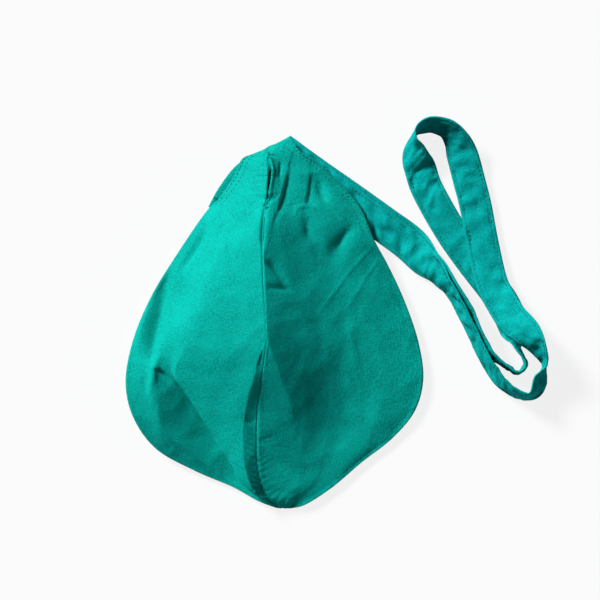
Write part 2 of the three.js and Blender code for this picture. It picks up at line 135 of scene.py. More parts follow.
# Folds and creases, each as height, width and the points that it follows in plan.
LEFT_CREASES = [
    (-3.2, 2.7, [[-53, 91], [-62, 76], [-73, 57]]),
    (-0.9, 1.6, [[-38, 96], [-45, 83]]),
    (0.5, 1.5, [[-41, 87], [-37.5, 72]]),
    (-5.6, 4.4, [[-84, 56], [-87.5, 40], [-91.7, 18], [-95, 0], [-97, -12]]),
    (-1.2, 2.4, [[-100, -22], [-100.5, -38]]),
    (1.8, 3.0, [[-88, -4], [-92.5, -17], [-94.5, -33], [-93, -48]]),
    (2.0, 4.0, [[-97, 40], [-103, 16], [-108, -6]]),
    (0.8, 4.0, [[-52, -96], [-44, -84], [-36, -80]]),
    (0.5, 2.5, [[-84, -86], [-76, -80]]),
]
RIGHT_CREASES = [
    (-1.6, 2.2, [[5, 142], [3, 130]]),
    (-2.4, 3.4, [[34, 130], [37, 120], [40, 110]]),
    (1.0, 1.5, [[15, 100], [19, 107], [24, 108], [29, 106], [32, 100]]),
    (-2.0, 5.5, [[27, 100], [27, 90], [31, 79]]),
    (-0.9, 2.0, [[25, 96], [26, 88], [28, 83]]),
    (-2.8, 6.0, [[62, 94], [55, 85], [49, 75], [44, 66]]),
    (-1.2, 2.4, [[60, 92], [53, 82], [49, 74]]),
    (0.7, 0.8, [[80, 80], [64, 64], [48, 44], [32, 20]]),
    (0.55, 0.8, [[84, 72], [68, 48], [52, 22]]),
    (-2.8, 3.0, [[-6, 66], [2, 58], [11, 46]]),
    (-1.6, 2.2, [[-6, 45], [4, 44], [15, 43]]),
    (0.35, 3.5, [[27, -10], [18, -25], [11, -40]]),
    (-0.8, 5.0, [[31, 36], [36, 10], [34, -20]]),
    (0.6, 3.5, [[58, 40], [60, 5], [66, -30]]),
    (0.5, 0.9, [[2, -122], [12, -113], [21, -108]]),
]

# Sharp folds with the lower cloth on their right, each as drop, width of the drop, reach and points.
LEFT_LEDGES = [
    (3.4, 2.8, 16, [[-95, -16.5], [-89.7, -17], [-84.2, -19.5], [-76, -28]]),
    (0.9, 1.8, 8, [[-13, -59], [-18, -61.5], [-25, -61]]),
]
RIGHT_LEDGES = [
    (4.0, 3.2, 14, [[1, 103], [4, 115], [10, 136]]),
    (3.0, 3.2, 10, [[23, 108], [25, 121], [27, 135]]),
]


# Curves and grids

LEAST_SPAN = 1e-6
LEAST_LENGTH = 1e-9

# Creases and ledges: steps along each span, and how they fade towards their ends.
LINE_STEPS = 6
END_MARGIN = 0.02
CREASE_TAPER, LEDGE_TAPER = 0.6, 0.5


def hermite(start, end, leave, arrive, t):
    """Cubic between two points with these tangents."""
    return ((2 * t**3 - 3 * t**2 + 1) * start + (t**3 - 2 * t**2 + t) * leave
            + (3 * t**2 - 2 * t**3) * end + (t**3 - t**2) * arrive)


def span_tangents(p0, p1, p2, p3):
    """Tangents of a centripetal curve at the ends of its middle span."""
    d0, d1, d2 = (np.maximum(np.linalg.norm(b - a, axis=-1, keepdims=True), LEAST_SPAN)**0.5
                  for a, b in ((p0, p1), (p1, p2), (p2, p3)))
    leave = ((p1 - p0) / d0 - (p2 - p0) / (d0 + d1) + (p2 - p1) / d1) * d1
    arrive = ((p2 - p1) / d1 - (p3 - p1) / (d1 + d2) + (p3 - p2) / d2) * d1
    return leave, arrive


def spline(points, steps, sharp=None):
    """Curves through points[k] (each a point, or an array of points), with steps[k] in span k.

    A knot with sharp 1 is a crease, and one with sharp 0 is smooth."""
    knots = [np.asarray(p, float) for p in points]
    sharp = sharp or [0] * len(knots)
    ends = [2 * knots[0] - knots[1], *knots, 2 * knots[-1] - knots[-2]]
    samples = []
    for k, count in enumerate(steps):
        leave, arrive = span_tangents(*ends[k:k + 4])
        chord = knots[k + 1] - knots[k]
        leave = leave + (chord - leave) * sharp[k]
        arrive = arrive + (chord - arrive) * sharp[k + 1]
        samples += [hermite(knots[k], knots[k + 1], leave, arrive, i / count) for i in range(count)]
    return np.array([*samples, knots[-1]])


def smooth(low, high, value):
    """Rises from 0 at low to 1 at high."""
    t = np.clip((value - low) / (high - low), 0, 1)
    return t * t * (3 - 2 * t)


def unit(vectors):
    return vectors / np.linalg.norm(vectors, axis=-1, keepdims=True)


def right_of(line):
    """Unit directions in plan to the right of a line."""
    tangent = np.gradient(line, axis=0)
    return unit(np.stack([tangent[:, 1], -tangent[:, 0]], -1))


def run_length(grid, axis):
    """Length along the grid's rows or columns, from their start."""
    steps = np.linalg.norm(np.diff(grid, axis=axis), axis=-1)
    start = np.zeros_like(np.take(steps, [0], axis=axis))
    return np.concatenate([start, np.cumsum(steps, axis=axis)], axis=axis)


def sample(points, run, wanted):
    """Values along a line at the wanted lengths."""
    return np.stack([np.interp(wanted, run, points[:, axis]) for axis in range(3)], -1)


def grid_normals(grid):
    """Normals of a grid of cloth, on the side that faces up."""
    normals = np.cross(np.gradient(grid, axis=1), np.gradient(grid, axis=0))
    normals /= np.maximum(np.linalg.norm(normals, axis=-1, keepdims=True), LEAST_LENGTH)
    return normals * np.sign(normals[..., 2].mean())


def nearest_on(xy, points):
    """Distance in plan to a line, the same with its left as negative, and the place along it."""
    line = spline(points, [LINE_STEPS] * (len(points) - 1))
    nearest = np.full(xy.shape[:-1], np.inf)
    right = np.zeros(xy.shape[:-1])
    place = np.zeros(xy.shape[:-1])
    for i, (start, end) in enumerate(zip(line[:-1], line[1:])):
        step = end - start
        along = np.clip((xy - start) @ step / (step @ step), 0, 1)
        offset = xy - start - along[..., None] * step
        distance = np.linalg.norm(offset, axis=-1)
        side = np.sign(offset[..., 0] * step[1] - offset[..., 1] * step[0])
        nearer = distance < nearest
        nearest = np.where(nearer, distance, nearest)
        right = np.where(nearer, distance * side, right)
        place = np.where(nearer, (i + along) / (len(line) - 1), place)
    return nearest, right, place


def taper(place, power):
    """Fades a fold towards both of its ends."""
    return np.sin(np.pi * np.clip(place, END_MARGIN, 1 - END_MARGIN))**power


def crease_height(xy, creases):
    """Height that the creases add at points in plan."""
    total = np.zeros(xy.shape[:-1])
    for height, width, points in creases:
        distance, _, place = nearest_on(xy, points)
        total += height * taper(place, CREASE_TAPER) * np.exp(-(distance / width)**2)
    return total


def ledge_drop(xy, ledges):
    """How far the sharp folds drop the cloth at points in plan."""
    total = np.zeros(xy.shape[:-1])
    for drop, width, reach, points in ledges:
        _, right, place = nearest_on(xy, points)
        fall = smooth(0, width, right) * np.exp(-np.maximum(right, 0) / reach)
        total += drop * taper(place, LEDGE_TAPER) * fall
    return total


def ripple(points, size, seed):
    """Smooth noise in -1 to 1 at points, with waves of about this size."""
    flat = points.reshape(-1, points.shape[-1]) / size
    values = [noise.noise(Vector((p[0], p[1], (p[2] if len(p) > 2 else 0) + seed))) for p in flat]
    return np.array(values).reshape(points.shape[:-1])


# Meshes

def add_to_scene(name, data):
    obj = bpy.data.objects.new(name, data)
    bpy.context.scene.collection.objects.link(obj)
    return obj


def make_object(name, vertices, faces, material, cloth=None):
    """A smooth mesh, with its place on the flat cloth as an attribute."""
    mesh = bpy.data.meshes.new(name)
    mesh.from_pydata([tuple(v) for v in np.asarray(vertices) * MM], [], faces)
    work = bmesh.new()
    work.from_mesh(mesh)
    bmesh.ops.recalc_face_normals(work, faces=work.faces)
    work.to_mesh(mesh)
    work.free()
    mesh.shade_smooth()
    if cloth is not None:
        attribute = mesh.attributes.new("cloth", "FLOAT_VECTOR", "POINT")
        flat = np.column_stack([cloth, np.zeros(len(cloth))]).astype(np.float32)
        attribute.data.foreach_set("vector", flat.ravel())
    mesh.materials.append(material)
    return add_to_scene(name, mesh)


def quads(rows, columns, closed=False):
    faces = []
    for r in range(rows - 1):
        for c in range(columns if closed else columns - 1):
            n = (c + 1) % columns
            faces.append((r * columns + c, r * columns + n, (r + 1) * columns + n, (r + 1) * columns + c))
    return faces


def tube_faces(rings, columns):
    """Faces of a tube of rings, with a wall at each end."""
    last = (rings - 1) * columns
    walls = [tuple(reversed(range(columns))), tuple(range(last, last + columns))]
    return quads(rings, columns, closed=True) + walls


def cloth_object(name, grid, thickness, material, start, row_starts=0):
    """A sheet of this thickness below a grid of points, cut from the flat cloth at start."""
    rows, columns = grid.shape[:2]
    inner = grid - grid_normals(grid) * thickness
    count = rows * columns
    place = np.arange(count).reshape(rows, columns)
    loop = np.concatenate([place[0], place[1:, -1], place[-1, -2::-1], place[-2:0:-1, 0]]).tolist()
    faces = quads(rows, columns)
    faces += [tuple(count + i for i in reversed(f)) for f in faces]
    faces += [(a, b, count + b, count + a) for a, b in zip(loop, loop[1:] + loop[:1])]
    across = run_length(grid, 1) + start[0] + np.reshape(row_starts, (-1, 1))
    along = run_length(grid, 0).mean(1, keepdims=True) + np.zeros_like(across) + start[1]
    flat = np.stack([across, along], -1).reshape(-1, 2) * MM
    vertices = np.vstack([grid.reshape(-1, 3), inner.reshape(-1, 3)])
    return make_object(name, vertices, faces, material, np.vstack([flat, flat]))


# Materials

# Yarns of the weave, with slubs drawn out along the warp and the weft, and pale flecks that are painted
# glints of the threads.
YARN_PITCH, WEAVE_HEIGHT = 0.9, 0.25
WARP_SLUBS, WEFT_SLUBS, PAINTED_GLINT_SPECKS = (900, 240, 1), (240, 900, 1), (950, 620, 1)
PAINTED_GLINT_LEVEL, MOTTLE_SCALE = 0.56, 45

# What slubs, mottling and the painted glints add to the dye's tone, and the deepest and the most faded dye.
SLUB_SHADE, MOTTLE_SHADE, PAINTED_GLINT_SHADE = 0.45, 0.6, 0.5
DEEP_DYE, FADED_DYE = 0.76, 1.65


def new_material(name):
    material = bpy.data.materials.new(name)
    material.use_nodes = True
    return material, material.node_tree, material.node_tree.nodes["Principled BSDF"]


def cotton_material(name, colour):
    """Plain-weave dyed cotton: threads, slubs, faded mottling, painted thread glints and a soft nap."""
    material, tree, shader = new_material(name)
    link = tree.links.new
    shader.inputs["Roughness"].default_value = 0.92
    shader.inputs["Sheen Weight"].default_value = 0.1
    shader.inputs["Sheen Roughness"].default_value = 0.6
    shader.inputs["Sheen Tint"].default_value = (0.01, 0.8, 0.75, 1)
    shader.inputs["Specular IOR Level"].default_value = 0.03
    shader.inputs["Specular Tint"].default_value = (0.1, 1, 0.95, 1)

    def node(kind, **settings):
        made = tree.nodes.new(kind)
        for key, value in settings.items():
            setattr(made, key, value)
        return made

    def math_node(operation, first, second=0):
        made = node("ShaderNodeMath", operation=operation)
        for socket, value in zip(made.inputs, (first, second)):
            if isinstance(value, (int, float)):
                socket.default_value = value
            else:
                link(value, socket)
        return made.outputs[0]

    def cloud(place, scale, detail):
        texture = node("ShaderNodeTexNoise", noise_dimensions="2D")
        texture.inputs["Scale"].default_value = scale
        texture.inputs["Detail"].default_value = detail
        link(place, texture.inputs["Vector"])
        return texture.outputs["Fac"]

    cloth = node("ShaderNodeAttribute", attribute_name="cloth").outputs["Vector"]

    def threads(scale):
        mapping = node("ShaderNodeMapping")
        link(cloth, mapping.inputs["Vector"])
        mapping.inputs["Scale"].default_value = scale
        return cloud(mapping.outputs[0], scale=1, detail=2)

    split = node("ShaderNodeSeparateXYZ")
    link(cloth, split.inputs[0])
    turns = 2 * math.pi / (YARN_PITCH * MM)
    warp = math_node("SINE", math_node("MULTIPLY", split.outputs["X"], turns))
    weft = math_node("SINE", math_node("MULTIPLY", split.outputs["Y"], turns))
    weave = math_node("MULTIPLY", warp, weft)
    slubs = math_node("ADD", threads(WARP_SLUBS), threads(WEFT_SLUBS))
    height = math_node("ADD", math_node("MULTIPLY", weave, WEAVE_HEIGHT), slubs)
    bump = node("ShaderNodeBump")
    bump.inputs["Strength"].default_value = 0.8
    bump.inputs["Distance"].default_value = 0.0004
    link(height, bump.inputs["Height"])
    link(bump.outputs[0], shader.inputs["Normal"])

    # Pale flecks lifted towards the faded dye: painted glints of the threads, added to the real slubs and
    # mottling.
    painted_glints = math_node("GREATER_THAN", threads(PAINTED_GLINT_SPECKS), PAINTED_GLINT_LEVEL)
    mottling = cloud(cloth, scale=MOTTLE_SCALE, detail=3)
    dye_tone_and_glints = math_node("ADD", math_node("MULTIPLY", slubs, SLUB_SHADE),
                      math_node("MULTIPLY", mottling, MOTTLE_SHADE))
    dye_tone_and_glints = math_node("ADD", dye_tone_and_glints, math_node("MULTIPLY", painted_glints, PAINTED_GLINT_SHADE))
    ramp = node("ShaderNodeValToRGB")
    deep, faded = ramp.color_ramp.elements
    deep.position = 0.3
    deep.color = [*(c * DEEP_DYE for c in colour), 1]
    faded.color = [*(c * FADED_DYE for c in colour), 1]
    link(dye_tone_and_glints, ramp.inputs[0])
    link(ramp.outputs[0], shader.inputs["Base Color"])
    return material


def thread_material():
    """Spun thread: darker than the cloth, with a fine twist."""
    material, tree, shader = new_material("thread")
    shader.inputs["Roughness"].default_value = 0.7
    shader.inputs["Specular IOR Level"].default_value = 0.25
    twist = tree.nodes.new("ShaderNodeTexNoise")
    twist.inputs["Scale"].default_value = 2500
    ramp = tree.nodes.new("ShaderNodeValToRGB")
    deep, faded = ramp.color_ramp.elements
    deep.color = (0.003, 0.14, 0.13, 1)
    faded.color = (0.004, 0.27, 0.25, 1)
    tree.links.new(twist.outputs["Fac"], ramp.inputs[0])
    tree.links.new(ramp.outputs[0], shader.inputs["Base Color"])
    return material


cotton = cotton_material("cotton", (0.002, 0.30, 0.25))
strap_cotton = cotton_material("strap_cotton", (0.002, 0.28, 0.264))
thread = thread_material()


# Front of the panels, from the bottom tip to the mouth's rim

LEFT_STEPS = [10, 30, 8, 16, 14]
RIGHT_STEPS = [10, 26, 20, 18]
ROW_STEP = 1.8

# How sharply the cloth folds along each feature line, above and below these two heights.
SHARP_ABOVE, SHARP_BELOW = 10, -28
LEFT_SHARP = [(1, 1), (0.8, 0.9), (0, 1), (0, 0.8), (0, 0.5), (0, 0)]
RIGHT_SHARP = [(1, 1), (0.6, 0.85), (0, 0), (0, 0), (0, 0)]

# The finger slit up the ridge, the length of its tapered ends, and how far the cut moves the cloth.
SLIT_FROM, SLIT_TO = 108.5, 148.5
SLIT_LOW_END, SLIT_HIGH_END = 9, 4
CUT_REACH = 30

# Unevenness of the cloth: waves as height, size and seed, and crumples as depth and size.
WAVES = [(0.7, 38, 0), (0.25, 11, 5)]
CRUMPLES = [(0.8, 26), (0.4, 13)]
CRUMPLE_POWER = 0.7

# The groove along the seam, and what is added to it just below the slit.
GROOVE_WIDTH, GROOVE_DEPTH = 1, 0.45
LOW_GROOVE_FROM, LOW_GROOVE_FULL = 70, 84
LOW_GROOVE_WIDTH, LOW_GROOVE_DEPTH = 1.4, 2.2

# Gathers that slant away from the seam near the bottom tip.
GATHERS_FROM, GATHERS_FULL = -55, -72
GATHER_HEIGHT, GATHER_PITCH, GATHER_SLANT, GATHER_REACH = 1.2, 0.75, 0.55, 9
GATHER_WANDER, WANDER_SIZE, WANDER_SEED = 3.5, 16, 9
GATHER_FADE, FADE_SIZE, FADE_SEED = 0.5, 9, 2

# Plain margins of a front beside the seam and the side.
SEAM_MARGIN, SIDE_MARGIN = 3, 4

# The turn at the side: its reach on the panel and on the rim, and the rows between the two.
TUCK_STEPS = 5
SIDE_TURN, RIM_TURN = 3.5, 1.0
TURN_BEFORE, TURN_AFTER = 10, 3


def extended_lines(panel_lines, rim):
    """The feature lines from the bottom tip up through the lip, as knots of equal count."""
    fold_row = np.array([line[0] for line in panel_lines], float)
    run = np.linalg.norm(fold_row[:, :2] - fold_row[0, :2], axis=1)
    lines = []
    for line, share in zip(panel_lines, run / run[-1]):
        lip = [np.array(a) + (np.array(b) - np.array(a)) * share for a, b in zip(LIP_RIDGE, rim)]
        lines.append(np.vstack([np.array(line[::-1], float), lip]))
    return np.array(lines)


def slit_window(rows):
    """How far the slit is open at each row: 1 along the slit and 0 beyond its ends."""
    y = rows[:, 0, 1]
    low_end = smooth(SLIT_FROM, SLIT_FROM + SLIT_LOW_END, y)
    return low_end * smooth(SLIT_TO, SLIT_TO - SLIT_HIGH_END, y)


def cut_rows(rows, offset):
    """Each row of points again, starting this far along it."""
    cut = []
    for row, run, start in zip(rows, run_length(rows, 1), offset):
        wanted = run + start * np.maximum(1 - run / CUT_REACH, 0)**2
        cut.append(sample(row, run, wanted))
    return np.array(cut)


def front_folds(panel_lines, rim, tip, span_steps, sharp):
    """The main folds of one front as rows from the seam to the side, and the row of the fold line."""
    knots = extended_lines(panel_lines, rim)
    spread = np.linspace(0, 1, len(knots))[:, None, None]
    at_seam, at_side = np.array(tip, float)
    knots = np.concatenate([at_seam + spread * (at_side - at_seam), knots], axis=1)
    spans = np.linalg.norm(np.diff(knots, axis=1), axis=-1).max(0)
    steps = [max(2, math.ceil(s / ROW_STEP)) for s in spans]
    lines = [spline(line, steps) for line in knots]
    edges = []
    for line, (above, below) in zip(lines, sharp):
        low_part = smooth(SHARP_ABOVE, SHARP_BELOW, line[:, 1])[:, None]
        edges.append(above + (below - above) * low_part)
    rows = np.swapaxes(spline(lines, span_steps, edges), 0, 1)
    return cut_rows(rows, SLIT_HEM * slit_window(rows)), sum(steps[:len(SEAM)])


def front_relief(rows, creases, ledges, seed):
    """One front again with its creases, unevenness, gathers and the groove along the seam."""
    run = run_length(rows, 1)
    y = rows[..., 1]
    lift = crease_height(rows[..., :2], creases) - ledge_drop(rows[..., :2], ledges)
    for height, size, shift in WAVES:
        lift += height * ripple(rows, size, seed + shift)
    for depth, size in CRUMPLES:
        lift -= depth * np.abs(ripple(rows, size, seed + size))**CRUMPLE_POWER
    below_slit = smooth(LOW_GROOVE_FROM, LOW_GROOVE_FULL, y)
    groove = np.exp(-(run / (GROOVE_WIDTH + LOW_GROOVE_WIDTH * below_slit))**2)
    groove *= (1 - slit_window(rows))[:, None]
    wander = GATHER_WANDER * ripple(rows, WANDER_SIZE, seed + WANDER_SEED)
    gathers = np.sin((y - GATHER_SLANT * run) / GATHER_PITCH + wander)
    gathers *= GATHER_FADE * (1 + ripple(rows, FADE_SIZE, seed + FADE_SEED))
    gathers *= np.exp(-run / GATHER_REACH) * smooth(GATHERS_FROM, GATHERS_FULL, y)
    lift += GATHER_HEIGHT * gathers * (1 - groove)
    lift *= smooth(0, SIDE_MARGIN, run[:, -1:] - run) * smooth(0, SEAM_MARGIN, run)
    rows = rows + grid_normals(rows) * lift[..., None]
    rows[..., 2] -= (GROOVE_DEPTH + LOW_GROOVE_DEPTH * below_slit) * groove
    return rows


def tuck_under(rows, fold_row, sign):
    """Adds the turn at the side, down to the table on the panel and a hem's thickness at the rim."""
    side = rows[:, -1]
    inward = -sign * right_of(side)
    lip = smooth(fold_row - TURN_BEFORE, fold_row + TURN_AFTER, np.arange(len(rows)))
    reach = SIDE_TURN + (RIM_TURN - SIDE_TURN) * lip
    drop = (side[:, 2] - CLOTH) * (1 - lip) + HEM_THICKNESS * lip
    turn = []
    for k in range(1, TUCK_STEPS + 1):
        angle = math.pi / 2 * k / TUCK_STEPS
        plan = side[:, :2] + inward * (reach * (1 - math.cos(angle)))[:, None]
        turn.append(np.column_stack([plan, side[:, 2] - drop * math.sin(angle)]))
    return np.concatenate([rows, np.swapaxes(np.array(turn), 0, 1)], axis=1)


def open_with_mouth(obj):
    """Bakes the cloth's placement into its mesh and returns it."""
    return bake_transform(obj)


left_lines = [SEAM, LEFT_CREST, LEFT_FOLD, LEFT_FOOT, LEFT_FLANK, LEFT_SIDE]
right_lines = [SEAM, RIGHT_CREST, RIGHT_FOLD, RIGHT_FLANK, RIGHT_SIDE]
left_rows, left_fold = front_folds(left_lines, LEFT_RIM, LEFT_TIP, LEFT_STEPS, LEFT_SHARP)
right_rows, right_fold = front_folds(right_lines, RIGHT_RIM, RIGHT_TIP, RIGHT_STEPS, RIGHT_SHARP)
left_rows = front_relief(left_rows, LEFT_CREASES, LEFT_LEDGES, seed=3)
right_rows = front_relief(right_rows, RIGHT_CREASES, RIGHT_LEDGES, seed=17)


def make_front(name, rows, fold_row, sign, node_names):
    """The front of one panel and its half of the lip, in one cloth."""
    piece = cloth_object(name, tuck_under(rows, fold_row, sign), CLOTH, cotton, CUT_AT[name],
                         SLIT_HEM * slit_window(rows))
    open_with_mouth(piece)
    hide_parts(*node_names)


make_front("front_left", left_rows, left_fold, -1, ("left_panel", "left_front_lip"))
make_front("front_right", right_rows, right_fold, 1, ("right_panel", "right_front_lip"))


# Stitches

STITCH_SIDES = 6
STITCH_PROBE = 0.2

# One stitch from end to end: place along it, girth and height above the cloth.
STITCH_PROFILE = [
    (0.0, 0.35, -0.9), (0.18, 0.85, 0.1), (0.5, 1.0, 0.35), (0.82, 0.85, 0.1), (1.0, 0.35, -0.9)]


def stitch_mesh(points, normals, length, pitch, radius):
    """Vertices and faces of a row of stitches along a line that lies on the cloth."""
    run = run_length(points, 0)
    one_stitch = tube_faces(len(STITCH_PROFILE), STITCH_SIDES)
    vertices = []
    faces = []
    for k in range(int((run[-1] - length) / pitch) + 1):
        faces += [tuple(len(vertices) + i for i in face) for face in one_stitch]
        for share, girth, height in STITCH_PROFILE:
            at = k * pitch + share * length
            centre = sample(points, run, at)
            up = sample(normals, run, at)
            ahead = sample(points, run, at + STITCH_PROBE) - sample(points, run, at - STITCH_PROBE)
            side = np.cross(ahead, up)
            side /= max(np.linalg.norm(side), LEAST_LENGTH)
            for s in range(STITCH_SIDES):
                turn = 2 * math.pi * s / STITCH_SIDES
                around = side * math.cos(turn) + up * math.sin(turn)
                vertices.append(centre + radius * (girth * around + height * up))
    return vertices, faces


def stitch_object(name, lines, length=2.4, pitch=3.2, radius=0.32):
    """One piece of thread with the stitches of several lines, each points with their normals."""
    vertices = []
    faces = []
    for points, normals in lines:
        new_vertices, new_faces = stitch_mesh(points, normals, length, pitch, radius)
        faces += [tuple(len(vertices) + i for i in face) for face in new_faces]
        vertices += new_vertices
    piece = make_object(name, vertices, faces, thread)
    return piece


def all_facing(direction, line):
    """The same direction at every point of a line."""
    return np.tile(np.array(direction, float), (len(line), 1))


# Mouth: hems turned in along the front rim, their stitching and the finger slit

LIP_MARGIN = 3
RIM_INSET = 0.8
FACING_COLUMNS = 7
LAYER_GAP = 0.4
RIM_STITCH_INSET = 2.2


def along_rim(rows, distance):
    """A line on a grid of cloth at this distance from its rim, with its normals."""
    line = []
    up = []
    for row, normals, run in zip(rows, grid_normals(rows), run_length(rows, 1)):
        line.append(sample(row, run, run[-1] - distance))
        up.append(sample(normals, run, run[-1] - distance))
    return np.array(line), np.array(up)


def make_mouth_hem(side, rows, fold_row):
    """The hem turned in under the rim of one lip, with its two rows of stitches."""
    lip = rows[fold_row + LIP_MARGIN:]
    lip = lip[run_length(lip, 1)[:, -1] > MOUTH_HEM + LIP_MARGIN]
    inside = []
    for distance in np.linspace(RIM_INSET, MOUTH_HEM, FACING_COLUMNS):
        line, up = along_rim(lip, distance)
        inside.append(line - up * (CLOTH + LAYER_GAP))
    grid = np.swapaxes(np.array(inside), 0, 1)
    facing = cloth_object(side + "_mouth_facing", grid, CLOTH, cotton, CUT_AT["facing"])
    open_with_mouth(facing)
    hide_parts(side + "_front_facing")
    lines = [along_rim(lip, distance) for distance in (MOUTH_HEM - STITCH_INSET, RIM_STITCH_INSET)]
    open_with_mouth(stitch_object(side + "_mouth_stitches", lines))


make_mouth_hem("left", left_rows, left_fold)
make_mouth_hem("right", right_rows, right_fold)

# Section of a slit's hem: share of its width from the free edge, and height over the lip's cloth.
SLIT_SECTION = np.array([
    (1.0, -1.0), (0.9, -0.08), (0.7, 0.02), (0.45, 0.0), (0.36, 0.15), (0.24, 0.7), (0.1, 0.9),
    (0.0, 0.1), (0.0, -0.6), (0.1, -1.1), (0.4, -1.2), (0.7, -1.2), (0.95, -1.3)])
SLIT_STITCH_COLUMN = 4
SLIT_STITCH_MARGIN = 4

# Free edges of the slit from its lower to its upper end, as distance from the ridge.
LEFT_SLIT_EDGE = [1.0, -1.0, -2.4, -2.4, -1.0]
RIGHT_SLIT_EDGE = [-0.6, 1.6, 3.6, 3.3, 1.2]

# How far a slit's hem laps onto the lip, and how it runs out beyond the slit.
HEM_LAP = 1.2
LEAST_HEM = 0.8
HEM_END, HEM_END_WIDTH, HEM_END_SINK = 3, 2.5, 1.4

# The column of the lip that gives its slope beside the slit.
SLOPE_COLUMN = 14


def open_with_slit(obj):
    """Bakes the hem's placement into its mesh."""
    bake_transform(obj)


def slit_hem_rings(rows, edge_curve):
    """Rings of a hem that is rolled at its free edge and lies on the lip's cloth, with its normals."""
    place = rows[:, 0, 1]
    lip = rows[(place > SLIT_FROM - HEM_END) & (place < SLIT_TO + HEM_END)]
    place = lip[:, 0, 1]
    window = slit_window(lip)
    ends = smooth(SLIT_FROM - HEM_END, SLIT_FROM, place) * smooth(SLIT_TO + HEM_END, SLIT_TO, place)
    away = unit(lip[:, SLOPE_COLUMN] - lip[:, 0])
    up = unit(np.cross(away, np.array(LIP_RIDGE[2]) - np.array(LIP_RIDGE[0])))
    up *= np.sign(up[:, 2])[:, None]
    width = SLIT_HEM * window
    outer = width + HEM_LAP + HEM_END_WIDTH * (1 - window)
    shares = np.clip((place - SLIT_FROM) / (SLIT_TO - SLIT_FROM), 0, 1)
    edge = np.interp(shares, np.linspace(0, 1, len(edge_curve)), edge_curve)
    edge = np.minimum(edge, outer - LEAST_HEM)
    across, height = SLIT_SECTION.T
    rings = []
    for r, (row, run) in enumerate(zip(lip, run_length(lip, 1))):
        reach = edge[r] + (outer[r] - edge[r]) * across - width[r]
        rise = np.maximum(height, 0) * ends[r] + np.minimum(height, 0) - HEM_END_SINK * (1 - ends[r])
        base = sample(row, run, reach) + np.minimum(reach, 0)[:, None] * away[r]
        rings.append(base + rise[:, None] * up[r])
    return np.array(rings), up


def make_slit_hem(side, rows, edge_curve):
    """One hemmed edge of the slit, in two halves that meet in its middle."""
    rings, up = slit_hem_rings(rows, edge_curve)
    along = run_length(rings, 0)
    middle = len(rings) // 2
    lower = ("lower", SLIT_FROM, slice(0, middle + 1), slice(SLIT_STITCH_MARGIN, None))
    upper = ("upper", SLIT_TO, slice(middle, None), slice(0, -SLIT_STITCH_MARGIN))
    for part, sewn_end, half_rows, stitched in (lower, upper):
        half = rings[half_rows]
        flat = np.stack([run_length(half, 1), along[half_rows]], -1).reshape(-1, 2) * MM
        hem = make_object(f"{side}_slit_edge_{part}", half.reshape(-1, 3), tube_faces(*half.shape[:2]),
                          cotton, flat)
        for end_wall in hem.data.polygons[-2:]:
            end_wall.use_smooth = False
        open_with_slit(hem)
        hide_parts(side + "_slit_hem")
        line = (half[stitched, SLIT_STITCH_COLUMN], up[half_rows][stitched])
        stitches = stitch_object(f"{side}_slit_stitches_{part}", [line],
                                 length=2.0, pitch=2.8, radius=0.3)
        open_with_slit(stitches)


make_slit_hem("left", left_rows, LEFT_SLIT_EDGE)
make_slit_hem("right", right_rows, RIGHT_SLIT_EDGE)

BAR_STRANDS = 6
BAR_HALF = 0.8


def make_tack(name, centre, fall, length):
    """A bar of thread laid across the seam, with its strands side by side."""
    ahead = np.array([0, math.cos(fall), math.sin(fall)])
    up = np.array([0, -math.sin(fall), math.cos(fall)])
    lines = []
    for place in np.linspace(-length / 2, length / 2, BAR_STRANDS):
        middle = np.array(centre) + np.array([place, 0, 0])
        points = np.array([middle - ahead * BAR_HALF, middle, middle + ahead * BAR_HALF])
        lines.append((points, all_facing(up, points)))
    tack = stitch_object(name + "_bar", lines, length=1.5, pitch=5, radius=0.2)
    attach(tack, "front_lip")
    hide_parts(name)


make_tack("slit_top_tack", centre=(-4.7, 149.6, 21.6), fall=math.atan2(-3.5, 6.5), length=3.6)
make_tack("slit_bottom_tack", centre=(-8, 108.2, 39), fall=math.atan2(-4.5, 12.3), length=2.4)


# Rear of the panels, rear hems, seams and the bottom tip

SEAM_CLEAR = 0.35
SEAM_REACH = 2
REAR_INSET = 1.4
REAR_COLUMNS = 40
RIM_STEPS = 10
REAR_WAVE, REAR_WAVE_SIZE, REAR_SEED = 0.12, 24, 31

# Section of a rear hem: distance from the rim and height, and the part of the rim that it follows.
REAR_HEM_SECTION = [(0.0, 1.0), (0.1, 2.0), (0.6, 2.3), (3, 2.2), (6, 2.25), (8, 2.2), (MOUTH_HEM, 2.0)]
REAR_STITCH_COLUMN = 5
LEFT_HEMMED = slice(5, 31)
RIGHT_HEMMED = slice(4, 21)


def make_rear(side, rows, fold_row, rim, sign):
    """The flat rear of one panel with its half of the rear lip, and the line of its rim."""
    panel = rows[:fold_row + 1]
    panel = panel[sign * panel[:, -1, 0] > REAR_SEAM_HALF + SEAM_REACH]
    panel_side = panel[:, -1, :2]
    lip = spline(rim, [RIM_STEPS] * (len(rim) - 1))
    edge = np.vstack([panel_side - sign * right_of(panel_side) * REAR_INSET, lip[1:]])
    seam_y = panel[:, 0, 1]
    seam_y = np.concatenate([seam_y, np.linspace(seam_y[-1], lip[-1, 1], len(lip))[1:]])
    seam_edge = np.column_stack([np.full(len(edge), sign * (REAR_SEAM_HALF + SEAM_CLEAR)), seam_y])
    shares = np.linspace(0, 1, REAR_COLUMNS)[None, :, None]
    plan = seam_edge[:, None] + (edge - seam_edge)[:, None] * shares
    height = CLOTH + REAR_WAVE + REAR_WAVE * ripple(plan, REAR_WAVE_SIZE, REAR_SEED)
    grid = np.concatenate([plan, height[..., None]], -1)
    piece = cloth_object("rear_" + side, grid, CLOTH, cotton, CUT_AT["rear"])
    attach(piece, "bag")
    return lip


